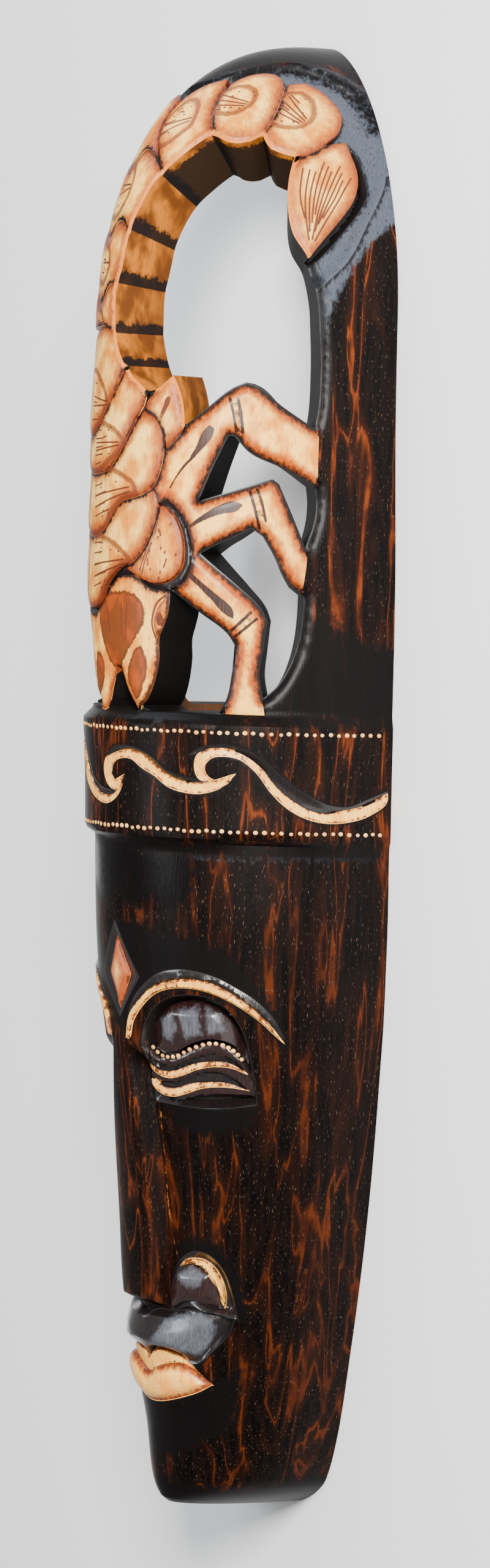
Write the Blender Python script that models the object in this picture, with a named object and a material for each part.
"""A long wooden wall mask with a scorpion carved through its crown, lying on its flat back.

X is the width, Y runs from the chin to the crown, Z is up, out of the face.
The mask is one piece: a hollowed half log. Its front is laid out flat, as if the log were unrolled:
P is the distance round the log from the middle line and Q is the distance along it, both in
millimetres for the outlines below. The flat plan is cut into triangles, lifted onto the log,
raised and cut by the carving, and joined to a plain hollow inside by the walls of the openings.
"""
import math

import bmesh
import bpy
import numpy as np
from mathutils import Vector
from mathutils.geometry import delaunay_2d_cdt

MM = 0.001

# The whole mask.
CHIN_Y = -0.500
CROWN_START_Y = 0.310
CROWN_RISE = 0.190
WALL = 0.038
CHIN_WALL = 0.038
CHIN_HOLLOW = 0.062
# One radian round the log measures this much on the flat plan.
ROUND = 0.140
RIM = ROUND * math.pi / 2
RIM_MM = RIM / MM
CHIN_MM = CHIN_Y / MM
CROWN_MM = CROWN_START_Y / MM
CROWN_WIDTH_POWER = 0.1
CROWN_DEPTH_POWER = -0.12

# Along the log: how far along, half the width at the back, depth from back to front.
LOG_SECTIONS = (
    (-0.500, 0.0300, 0.0880),
    (-0.496, 0.0400, 0.0925),
    (-0.490, 0.0510, 0.0950),
    (-0.480, 0.0620, 0.0965),
    (-0.450, 0.0745, 0.0990),
    (-0.425, 0.0810, 0.1040),
    (-0.400, 0.0860, 0.1110),
    (-0.350, 0.0956, 0.1215),
    (-0.300, 0.1033, 0.1255),
    (-0.250, 0.1090, 0.1310),
    (-0.200, 0.1130, 0.1370),
    (-0.150, 0.1160, 0.1425),
    (-0.100, 0.1165, 0.1475),
    (-0.050, 0.1150, 0.1505),
    (0.000, 0.1135, 0.1530),
    (0.050, 0.1125, 0.1570),
    (0.100, 0.1115, 0.1605),
    (0.150, 0.1095, 0.1630),
    (0.200, 0.1060, 0.1645),
    (0.250, 0.1030, 0.1650),
    (0.310, 0.1010, 0.1645),
)

# The headband, which stands proud of the log.
BAND_TOP = 38.0
BAND_BOTTOM = -37.0
BAND_PROUD = 0.007
BAND_PROUD_AT_RIM = 0.0015
LEDGE_END = 46.0
STEP_END = -43.0

# The face.
CHEEK_DEPTH = 0.012
CHEEK_START = 36.0
CHEEK_WIDTH = 85.0
CHEEK_TOP = -178.0
CHEEK_BOTTOM = -372.0
CHEEK_TOP_FADE = 25.0
CHEEK_BOTTOM_FADE = 50.0
NOSE_HALF = 28.0
NOSE_BOTTOM = -364.0
SOCKET_DEPTH = 0.014
LID_DEPTH = 0.003
LOWER_LID_HEIGHT = -0.007

# The edge of the whole mask on the flat plan, from the left top of the headband to the crown.
LEFT_EDGE = (
    (-156, 46), (-146, 50), (-141, 62), (-140, 150), (-128, 205), (-100, 250),
    (-68, 288), (-57, 320), (-53, 360), (-55, 395), (-70, 430), (-104, 468),
)
CROWN_LEFT_ANGLE = math.radians(125)

# Openings cut right through, as seen on the front.
MAIN_OPENING = (
    (27, 276), (11, 296), (11, 327), (17, 352), (36, 383), (66, 412), (78, 410), (94, 412),
    (102, 420), (112, 413), (129, 412), (133, 395), (143, 369), (160, 348), (169, 323),
    (171, 302), (172, 272), (171, 250), (169, 238), (131, 265), (125, 267), (118, 264),
    (83, 237), (80, 255), (73, 269), (62, 262), (51, 259), (44, 264), (30, 271),
)
LEG_OPENING_TOP = (
    (93, 187), (114, 231), (118, 231), (127, 221), (169, 199), (169, 178), (163, 158),
    (147, 200), (142, 203), (121, 196),
)
LEG_OPENING_MIDDLE = (
    (94, 152), (116, 163), (129, 170), (136, 165), (144, 150), (152, 132), (162, 126),
    (161, 112), (160, 100), (153, 78), (144, 64), (136, 57), (133, 70), (139, 108),
    (136, 115), (120, 131), (104, 144),
)
HEAD_OPENING = (
    (71, 127), (69, 113), (62, 95), (61, 80), (54, 60), (44, 50), (50, 46.5), (106, 46.5),
    (111, 56), (117, 92), (114, 97), (94, 112),
)
# The far side was not photographed: plainer openings in keeping with the near side.
FAR_OPENING_TOP = ((-66, 238), (-84, 228), (-108, 196), (-110, 178), (-68, 200))
FAR_OPENING_MIDDLE = ((-66, 180), (-110, 156), (-112, 118), (-106, 112), (-72, 140))
FAR_OPENING_HEAD = (
    (-40, 120), (-30, 96), (-26, 78), (-20, 60), (-8, 50), (-14, 46.5), (-82, 46.5),
    (-88, 56), (-94, 88), (-70, 108),
)
OPENINGS = (
    MAIN_OPENING, LEG_OPENING_TOP, LEG_OPENING_MIDDLE, HEAD_OPENING,
    FAR_OPENING_TOP, FAR_OPENING_MIDDLE, FAR_OPENING_HEAD,
)

# Carved areas: outline on the flat plan, height above the log, width of the slope at the edge.
# Later ones lie over earlier ones.
PLATE = 0.0035
SLOPE = 2.0
ABDOMEN_TOP = ((24, 290), (28, 276), (21, 262), (4, 240), (-14, 232), (-70, 238), (-70, 300), (10, 300))
PLATE_D = (
    (28, 276), (54, 264), (49, 250), (40, 238), (24, 217), (8, 205), (-20, 203), (-64, 212),
    (-66, 236), (-12, 246), (8, 252),
)
PLATE_E = ((73, 275), (90, 250), (88, 232), (70, 221), (66, 232), (58, 240), (45, 243), (54, 258))
PLATE_A = (
    (49, 243), (60, 240), (67, 230), (65, 214), (58, 196), (41, 188), (22, 180), (4, 165),
    (-20, 162), (-62, 172), (-70, 206), (-16, 204), (12, 206), (28, 216), (40, 234),
)
PLATE_B = (
    (58, 192), (62, 178), (54, 162), (41, 147), (25, 139), (9, 128), (-6, 113), (-24, 112),
    (-44, 122), (-62, 150), (-64, 170), (-16, 162), (6, 165), (24, 180), (42, 188),
)
PLATE_C = ((62, 183), (73, 179), (81, 167), (83, 152), (80, 140), (70, 131), (56, 130), (38, 136), (46, 150), (58, 166))
HEAD = (
    (-42, 118), (-24, 118), (-10, 112), (6, 128), (24, 138), (46, 134), (60, 127), (74, 128),
    (76, 113), (66, 95), (66, 80), (58, 58), (41, 43), (21, 73), (19, 73), (2, 43),
    (-14, 46), (-26, 60), (-30, 78), (-34, 96), (-46, 116),
)
TAIL_PLATES = (
    ((30, 300), (28, 284), (8, 292), (-18, 282), (-66, 292), (-66, 330), (-14, 318), (4, 326), (18, 326)),
    ((20, 330), (10, 322), (-14, 316), (-64, 326), (-64, 366), (-16, 352), (2, 358), (24, 354)),
    ((26, 350), (6, 356), (-14, 350), (-62, 362), (-60, 402), (-14, 382), (4, 396), (22, 394), (44, 384)),
    ((46, 380), (30, 392), (10, 396), (-12, 380), (-60, 404), (-20, 440), (4, 418), (16, 400)),
    ((72, 414), (50, 396), (32, 384), (14, 401), (3, 418), (9, 436), (30, 450), (44, 454), (50, 434)),
    ((104, 418), (90, 406), (76, 406), (66, 412), (50, 433), (45, 452), (52, 465), (66, 471), (83, 464), (98, 441)),
    ((130, 408), (112, 408), (102, 418), (99, 441), (84, 465), (92, 474), (108, 471), (130, 461), (140, 450), (143, 436), (138, 424)),
)
STINGER = (
    (131, 408), (128, 380), (140, 360), (158, 342), (168, 363), (177, 385), (177, 403), (171, 417),
    (158, 431), (150, 438), (142, 428),
)
STING_GROUND = (
    (-20, 446), (10, 452), (36, 464), (58, 486), (84, 492), (106, 490), (138, 474), (168, 446),
    (184, 416), (187, 380), (180, 350), (168, 332), (150, 340), (120, 380), (100, 400), (60, 400), (20, 400),
)
STING_GROOVE = ((158, 344), (168, 350), (178, 369), (184, 392), (184, 408), (174, 420), (160, 436), (130, 420), (140, 380))
GROUND_DEPTH = -0.005
GROOVE_DEPTH = -0.012
MOUTH_GAP = ((20, 76), (8, 50), (2, 46.2), (40, 46.2), (33, 54))
MOUTH_GAP_DEPTH = -0.020

DIAMOND = ((4, -100), (32, -135), (4, -163), (-24, -135))
DIAMOND_HEART = ((4, -111), (19, -135), (4, -157), (-11, -135))
BROW = (
    (13, -178), (17, -164), (27, -150), (46, -137), (70, -129), (95, -132), (118, -143),
    (136, -157), (148, -174), (124, -155), (108, -147), (92, -141), (72, -139), (50, -145),
    (32, -157), (20, -172),
)
SOCKET = (
    (32, -220), (32, -190), (36, -170), (48, -155), (66, -147), (84, -146), (102, -152),
    (117, -166), (125, -188), (129, -214), (100, -221), (60, -221),
)
LID = (
    (38, -184), (44, -167), (60, -155), (80, -151), (98, -156), (112, -170), (119, -188),
    (104, -180), (88, -178), (70, -186), (55, -190), (44, -187),
)
LOWER_LID = (
    (34, -192), (46, -199), (58, -199), (76, -191), (92, -186), (108, -187), (122, -196),
    (126, -213), (104, -216), (60, -218), (38, -216),
)
WING = ((46, -352), (48, -336), (58, -324), (76, -319), (96, -322), (108, -334), (115, -350), (112, -362), (90, -363), (60, -368), (46, -366))
UPPER_LIP = (
    (-32, -368), (0, -366), (32, -368), (70, -364), (102, -372), (116, -384), (100, -398),
    (60, -394), (28, -392), (0, -400), (-28, -392), (-60, -394), (-100, -398), (-116, -384),
    (-102, -372), (-70, -364),
)
LOWER_LIP = (
    (0, -408), (26, -394), (50, -396), (74, -404), (91, -412), (70, -420), (44, -426), (0, -429),
    (-44, -426), (-70, -420), (-91, -412), (-74, -404), (-50, -396), (-26, -394),
)

# The waves carved round the headband: the dark gouge above each cream line, seen on the near
# side, and how far round and up the same two waves come again toward the far side.
WAVE_TALL = (
    (84, 17), (96, 24), (107, 26), (119, 25), (133, 18), (147, 5), (162, -6), (177, -13),
    (190, -14), (203, -9), (217, -3), (217, -7), (203, -13), (189, -17), (177, -19),
    (167, -18), (155, -12), (144, -3), (134, 9), (122, 18), (108, 22), (97, 20),
)
WAVE_LOW = (
    (7, 12), (19, 21), (35, 23), (46, 21), (58, 15), (67, 8), (76, 4), (90, 3), (100, 1),
    (88, -2), (76, -1), (63, 5), (52, 12), (41, 17), (27, 17), (15, 13),
)
WAVE_TALL_END = 213.0
WAVE_BEFORE_END = 198.0
WAVE_REPEAT = 173.0
WAVE_REPEAT_UP = 5.0
WAVE_DEPTH = 0.003

OUTER_STEP = 15.0
OUTLINE_STEP = 12.0
EDGE_STEP = 14.0
OPENING_STEP = 9.0
INNER_STEP = 30.0
# Points this near the rim are put on it, and thinner triangles than this are left out.
RIM_SNAP = 0.0015
SLIVER = 0.000002


def outline(points, step=OUTLINE_STEP):
    """Outline in metres with no side longer than the step."""
    pts = np.array(points, float)
    out = []
    for here, there in zip(pts, np.roll(pts, -1, axis=0)):
        count = max(1, math.ceil(float(np.hypot(*(there - here))) / step))
        for i in range(count):
            out.append(here + (there - here) * (i / count))
    return np.array(out) * MM


def mirrored(points):
    """The same outline on the other side of the face."""
    return tuple((-p, q) for p, q in reversed(points))


def inside_distance(points, poly):
    """Distance from the outline, more than nothing inside it."""
    start = poly[None, :, :]
    side = (np.roll(poly, -1, axis=0) - poly)[None, :, :]
    gap = points[:, None, :] - start
    length = np.maximum((side ** 2).sum(-1), 1e-18)
    along = np.clip((gap * side).sum(-1) / length, 0.0, 1.0)
    near = np.sqrt(((gap - along[..., None] * side) ** 2).sum(-1)).min(1)
    y0 = start[..., 1]
    y1 = y0 + side[..., 1]
    py = points[:, None, 1]
    crosses = (y0 > py) != (y1 > py)
    rise = np.where(np.abs(side[..., 1]) < 1e-15, 1e-15, side[..., 1])
    cross_x = start[..., 0] + (py - y0) * side[..., 0] / rise
    inside = (crosses & (points[:, None, 0] < cross_x)).sum(1) % 2 == 1
    return np.where(inside, near, -near)


def shrunk(poly, distance):
    """Outline moved inward by the distance."""
    ahead = np.roll(poly, -1, axis=0) - poly
    behind = poly - np.roll(poly, 1, axis=0)
    ahead /= np.maximum(np.linalg.norm(ahead, axis=1, keepdims=True), 1e-12)
    behind /= np.maximum(np.linalg.norm(behind, axis=1, keepdims=True), 1e-12)
    way = ahead + behind
    normal = np.stack([-way[:, 1], way[:, 0]], 1)
    normal /= np.maximum(np.linalg.norm(normal, axis=1, keepdims=True), 1e-12)
    area = (poly[:, 0] * np.roll(poly[:, 1], -1) - np.roll(poly[:, 0], -1) * poly[:, 1]).sum()
    moved = poly + normal * distance * (1 if area > 0 else -1)
    keep = inside_distance(moved, poly) > 0.6 * distance
    return moved[keep]


def log_surface(plan, wall=0.0):
    """Points on the log, or on the hollow inside it when a wall is given."""
    p = plan[:, 0]
    q_plan = plan[:, 1]
    along = [row[0] for row in LOG_SECTIONS]
    if wall:
        hollow_from = CHIN_Y + CHIN_WALL + CHIN_HOLLOW
        ratio = CHIN_HOLLOW / (hollow_from - CHIN_Y)
        q_plan = np.where(q_plan < hollow_from, hollow_from + (q_plan - hollow_from) * ratio, q_plan)
        into = np.clip((hollow_from - q_plan) / CHIN_HOLLOW, 0.0, 1.0)
        closing = np.sqrt(np.maximum(1.0 - into ** 2, 0.0))
    else:
        closing = 1.0
    half = np.interp(q_plan, along, [row[1] for row in LOG_SECTIONS]) - wall
    deep = (np.interp(q_plan, along, [row[2] for row in LOG_SECTIONS]) - wall) * closing
    turn = np.clip(p / ROUND, -math.pi / 2, math.pi / 2)
    turn = np.where(np.abs(p) > RIM - RIM_SNAP, np.sign(p) * math.pi / 2, turn)
    low = np.stack([half * np.sin(turn), q_plan, deep * np.cos(turn)], 1)
    up = np.maximum(q_plan - CROWN_START_Y, 0.0)
    lean = np.clip(np.hypot(p, up) / ROUND, 0.0, math.pi / 2)
    lean = np.where(np.hypot(p, up) > RIM - RIM_SNAP, math.pi / 2, lean)
    way = np.arctan2(up, p)
    q = np.sin(lean) * np.sin(way)
    left = np.maximum(1.0 - q * q, 1e-6)
    half_top = LOG_SECTIONS[-1][1] - wall
    deep_top = LOG_SECTIONS[-1][2] - wall
    high = np.stack([
        half_top * np.sin(lean) * np.cos(way) * left ** CROWN_WIDTH_POWER,
        CROWN_START_Y + (CROWN_RISE - wall) * q,
        deep_top * np.cos(lean) * left ** CROWN_DEPTH_POWER,
    ], 1)
    points = np.where((up > 0.0)[:, None], high, low)
    points[np.hypot(p, up) > RIM - RIM_SNAP, 2] = 0.0
    return points


def smooth(x):
    """Slope that starts and ends gently."""
    x = np.clip(x, 0.0, 1.0)
    return x * x * (3.0 - 2.0 * x)


def wave_outlines():
    """The gouges above the waves of the headband, as outlines."""
    near = tuple((p, q) for p, q in WAVE_TALL if p < WAVE_TALL_END)
    before = tuple((p - WAVE_REPEAT, q + WAVE_REPEAT_UP) for p, q in near if p < WAVE_BEFORE_END)
    low_before = tuple((p - WAVE_REPEAT, q) for p, q in WAVE_LOW)
    return [near, WAVE_LOW, before, low_before]


def carved_areas():
    """Every carved area in order: outline, height, slope, whether it lies over the ground height."""
    wide = RIM_MM + 10
    areas = []

    def area(points, height, slope=SLOPE):
        areas.append((outline(points), height, slope * MM))

    area(STING_GROUND, GROUND_DEPTH, 4.0)
    area(STING_GROOVE, GROOVE_DEPTH, 3.0)
    area(MOUTH_GAP, MOUTH_GAP_DEPTH, 3.0)
    for i, points in enumerate(TAIL_PLATES):
        area(points, PLATE * (0.55 + 0.45 * (i % 2)), SLOPE)
    area(STINGER, PLATE * 0.7, 3.0)
    area(ABDOMEN_TOP, PLATE * 0.4)
    area(PLATE_E, PLATE * 0.6)
    area(PLATE_D, PLATE * 0.8)
    area(PLATE_C, PLATE * 0.8)
    area(PLATE_A, PLATE * 1.2)
    area(PLATE_B, PLATE * 1.0)
    area(HEAD, PLATE * 0.6, 3.0)
    band = ((-wide, BAND_BOTTOM), (wide, BAND_BOTTOM), (wide, BAND_TOP), (-wide, BAND_TOP))
    areas.append((outline(band), "band", 0.5 * MM))
    for points in wave_outlines():
        areas.append((outline(points), "wave", 1.8 * MM))
    for side in (tuple, mirrored):
        area(side(BROW), 0.002)
        area(side(SOCKET), -SOCKET_DEPTH, 4.0)
        area(side(LID), -LID_DEPTH, 9.0)
        area(side(LOWER_LID), LOWER_LID_HEIGHT, 3.0)
        area(side(WING), -0.003, 6.0)
    nose = (
        (-15, -180), (-23, -215), (-NOSE_HALF, -262), (-NOSE_HALF, NOSE_BOTTOM),
        (NOSE_HALF, NOSE_BOTTOM), (NOSE_HALF, -262), (23, -215), (15, -180),
    )
    area(nose, 0.0, 5.0)
    area(UPPER_LIP, 0.002, 9.0)
    area(LOWER_LIP, 0.005, 4.0)
    area(DIAMOND, -0.002, 3.0)
    area(DIAMOND_HEART, 0.001, 4.0)
    return areas


def band_height(plan):
    """How proud the headband stands, less toward the rim."""
    fade = smooth((np.abs(plan[:, 0]) - 0.150) / 0.060)
    return BAND_PROUD + (BAND_PROUD_AT_RIM - BAND_PROUD) * fade


def relief(plan, areas):
    """Height of the carving above the log at points of the flat plan."""
    p = np.abs(plan[:, 0]) / MM
    q = plan[:, 1] / MM
    cheek = 1.0 - smooth((p - CHEEK_START) / CHEEK_WIDTH)
    cheek *= smooth((CHEEK_TOP - q) / CHEEK_TOP_FADE)
    cheek *= smooth((q - (CHEEK_BOTTOM - CHEEK_BOTTOM_FADE)) / CHEEK_BOTTOM_FADE)
    height = -CHEEK_DEPTH * cheek
    proud = band_height(plan)
    above = smooth((LEDGE_END - q) / (LEDGE_END - BAND_TOP))
    below = smooth((q - STEP_END) / (BAND_BOTTOM - STEP_END))
    collar = np.where(q > 0, above, below)
    height = height + proud * collar
    for poly, top, slope in areas:
        low = poly.min(0) - 1e-6
        high = poly.max(0) + 1e-6
        near = np.all((plan > low) & (plan < high), axis=1)
        if not near.any():
            continue
        part = np.clip(inside_distance(plan[near], poly) / slope, 0.0, 1.0)
        if isinstance(top, str):
            goal = proud[near] - (WAVE_DEPTH if top == "wave" else 0.0)
        else:
            goal = top
        height[near] += (goal - height[near]) * part
    return height


def front_points(plan, areas):
    """Carved front: the log, raised or cut along its own normal."""
    small = 1e-4
    inside = plan.copy()
    inside[:, 1] = np.clip(inside[:, 1], CHIN_Y + small, None)
    reach = np.hypot(inside[:, 0], np.maximum(inside[:, 1] - CROWN_START_Y, 0.0))
    pull = np.minimum(1.0, (RIM - RIM_SNAP - 5e-4) / np.maximum(reach, 1e-9))
    inside[:, 0] *= pull
    over = inside[:, 1] > CROWN_START_Y
    inside[over, 1] = CROWN_START_Y + (inside[over, 1] - CROWN_START_Y) * pull[over]
    shift_p = np.array([[small, 0.0]])
    shift_q = np.array([[0.0, small]])
    across = log_surface(inside + shift_p) - log_surface(inside - shift_p)
    along = log_surface(inside + shift_q) - log_surface(inside - shift_q)
    normal = np.cross(across, along)
    normal /= np.maximum(np.linalg.norm(normal, axis=1, keepdims=True), 1e-12)
    height = relief(plan, areas)
    at_end = plan[:, 1] < CHIN_Y + 1e-6
    height[at_end] = 0.0
    at_rim = np.hypot(plan[:, 0], np.maximum(plan[:, 1] - CROWN_START_Y, 0.0)) > RIM - RIM_SNAP
    normal[at_rim, 2] = 0.0
    return log_surface(plan) + normal * height[:, None]


def mask_edge():
    """The edge of the whole mask on the flat plan."""
    edge = [(-RIM_MM, CHIN_MM), (RIM_MM, CHIN_MM), (RIM_MM, CROWN_MM)]
    turns = 14
    for i in range(1, turns + 1):
        angle = CROWN_LEFT_ANGLE * i / turns
        edge.append((RIM_MM * math.cos(angle), CROWN_MM + RIM_MM * math.sin(angle)))
    edge += list(reversed(LEFT_EDGE))
    edge.append((-RIM_MM, LEDGE_END))
    return edge


def in_mask(points, edge, holes):
    """Whether each point lies on wood."""
    keep = inside_distance(points, edge) > SLIVER
    for hole in holes:
        keep &= inside_distance(points, hole) < -SLIVER
    return keep


def triangles(points, lines, edge, holes):
    """Cut the wood of the flat plan into triangles that keep every given line."""
    found = delaunay_2d_cdt([Vector(v) for v in points], lines, [], 0, 1e-4)
    coords = np.array([tuple(v) for v in found[0]])
    faces = np.array([f for f in found[2] if len(f) == 3])
    middle = coords[faces].mean(1)
    faces = faces[in_mask(middle, edge, holes)]
    return coords, faces, found[3]


def grid(step, edge, holes, clear_of):
    """Even points on the wood, clear of the given lines."""
    size = step * MM
    low = edge.min(0)
    high = edge.max(0)
    rows = []
    for j in range(int((high[1] - low[1]) / (size * 0.87)) + 2):
        shift = 0.5 * size if j % 2 else 0.0
        for i in range(int((high[0] - low[0]) / size) + 2):
            rows.append((low[0] + shift + i * size, low[1] + j * size * 0.87))
    pts = np.array(rows)
    pts = pts[in_mask(pts, edge, holes)]
    for poly in clear_of:
        pts = pts[np.abs(inside_distance(pts, poly)) > 0.45 * size]
    return pts


def rings(polys, start=0):
    """Points and closed chains of lines for several outlines."""
    points = []
    lines = []
    for poly in polys:
        first = start + len(points)
        points += [tuple(v) for v in poly]
        count = len(poly)
        lines += [(first + i, first + (i + 1) % count) for i in range(count)]
    return points, lines


def build_mask():
    """The mask as one closed mesh."""
    areas = carved_areas()
    edge = outline(mask_edge(), EDGE_STEP)
    holes = [outline(points, OPENING_STEP) for points in OPENINGS]
    feature = [poly for poly, top, slope in areas]
    feature += [shrunk(poly, slope) for poly, top, slope in areas if slope > MM]
    feature = [poly for poly in feature if len(poly) > 2]
    far = (RIM_MM + 10)
    for q in (LEDGE_END - 1.5, STEP_END):
        feature.append(outline(((-far, q), (far, q), (far, q + 0.3), (-far, q + 0.3))))
    points, lines = rings([edge] + holes + feature)
    points += [tuple(v) for v in grid(OUTER_STEP, edge, holes, [edge] + holes + feature)]
    plan, faces, _ = triangles(points, lines, edge, holes)
    used = np.unique(faces)
    renumber = -np.ones(len(plan), int)
    renumber[used] = np.arange(len(used))
    plan = plan[used]
    faces = renumber[faces]

    sides = {}
    for face in faces:
        for k in range(3):
            sides[(int(face[k]), int(face[(k + 1) % 3]))] = True
    border = [pair for pair in sides if (pair[1], pair[0]) not in sides]
    border_ids = sorted({i for pair in border for i in pair})
    slot = {v: i for i, v in enumerate(border_ids)}
    inner_points = [tuple(plan[i]) for i in border_ids]
    inner_lines = [(slot[a], slot[b]) for a, b in border]
    inner_points += [tuple(v) for v in grid(INNER_STEP, edge, holes, [edge] + holes)]
    inner_plan, inner_faces, origin = triangles(inner_points, inner_lines, edge, holes)
    inner_of = {}
    for new, olds in enumerate(origin):
        for old in olds:
            if old < len(border_ids):
                inner_of[border_ids[old]] = new

    front = front_points(plan, areas)
    back = log_surface(inner_plan, WALL)
    at_chin = plan[:, 1] < CHIN_Y + 1e-6
    front[at_chin, 1] = CHIN_Y
    mesh = bmesh.new()
    top = [mesh.verts.new(v) for v in front]
    low = [mesh.verts.new(v) for v in back]
    floor = {}
    for i in border_ids:
        if at_chin[i]:
            at_corner = abs(plan[i][0]) > RIM - RIM_SNAP
            floor[i] = top[i] if at_corner else mesh.verts.new((front[i][0], CHIN_Y, 0.0))

    def face(*corners):
        ring = []
        for corner in corners:
            if corner not in ring:
                ring.append(corner)
        if len(ring) > 2:
            mesh.faces.new(ring)

    for a, b, c in faces:
        face(top[a], top[b], top[c])
    for a, b, c in inner_faces:
        face(low[c], low[b], low[a])
    for a, b in border:
        if at_chin[a] and at_chin[b]:
            face(top[b], top[a], floor[a], floor[b])
            face(floor[b], floor[a], low[inner_of[a]], low[inner_of[b]])
        else:
            face(top[b], top[a], low[inner_of[a]])
            face(top[b], low[inner_of[a]], low[inner_of[b]])
    loose = [v for v in mesh.verts if not v.link_faces]
    bmesh.ops.delete(mesh, geom=loose, context="VERTS")
    bmesh.ops.triangulate(mesh, faces=mesh.faces[:])
    bmesh.ops.recalc_face_normals(mesh, faces=mesh.faces[:])
    return mesh


def wood_material(name, colour):
    """A plain stained wood."""
    material = bpy.data.materials.new(name)
    material.use_nodes = True
    shader = material.node_tree.nodes["Principled BSDF"]
    shader.inputs["Base Color"].default_value = (*colour, 1.0)
    shader.inputs["Roughness"].default_value = 0.35
    return material


def main():
    for old in list(bpy.data.objects):
        bpy.data.objects.remove(old, do_unlink=True)
    mesh = build_mask()
    data = bpy.data.meshes.new("scorpion_mask")
    mesh.to_mesh(data)
    mesh.free()
    data.materials.append(wood_material("dark_stained_wood", (0.045, 0.020, 0.012)))
    mask = bpy.data.objects.new("scorpion_mask", data)
    bpy.context.scene.collection.objects.link(mask)


main()
